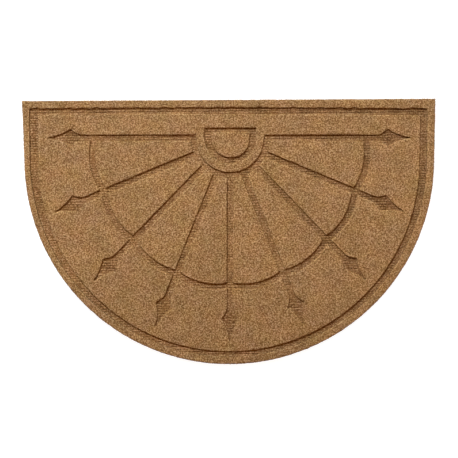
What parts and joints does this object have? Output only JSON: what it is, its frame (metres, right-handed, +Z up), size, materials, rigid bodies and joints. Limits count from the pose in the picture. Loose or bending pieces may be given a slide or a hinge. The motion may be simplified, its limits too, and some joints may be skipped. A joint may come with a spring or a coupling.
{
  "type": "half-round doormat",
  "caption": "Half-round doormat of stiff felt with a moulded fan of spear-headed spokes inside a grooved border; lies flat at a doorway with its straight edge to the door.",
  "frame": {"origin": "on the floor plane under the middle of the mat's bounding box", "axes": "+X along the straight edge, +Y towards the straight edge (the door side), +Z up out of the pile"},
  "size_m": [0.9144, 0.5868, 0.0095],
  "materials": {
    "brown_felt": "matt speckled brown needle-punched felt, moulded into a raised pile with sunk, finely ribbed grooves"
  },
  "bodies": {
    "root": {"mat": "brown_felt"}
  },
  "joints": []
}
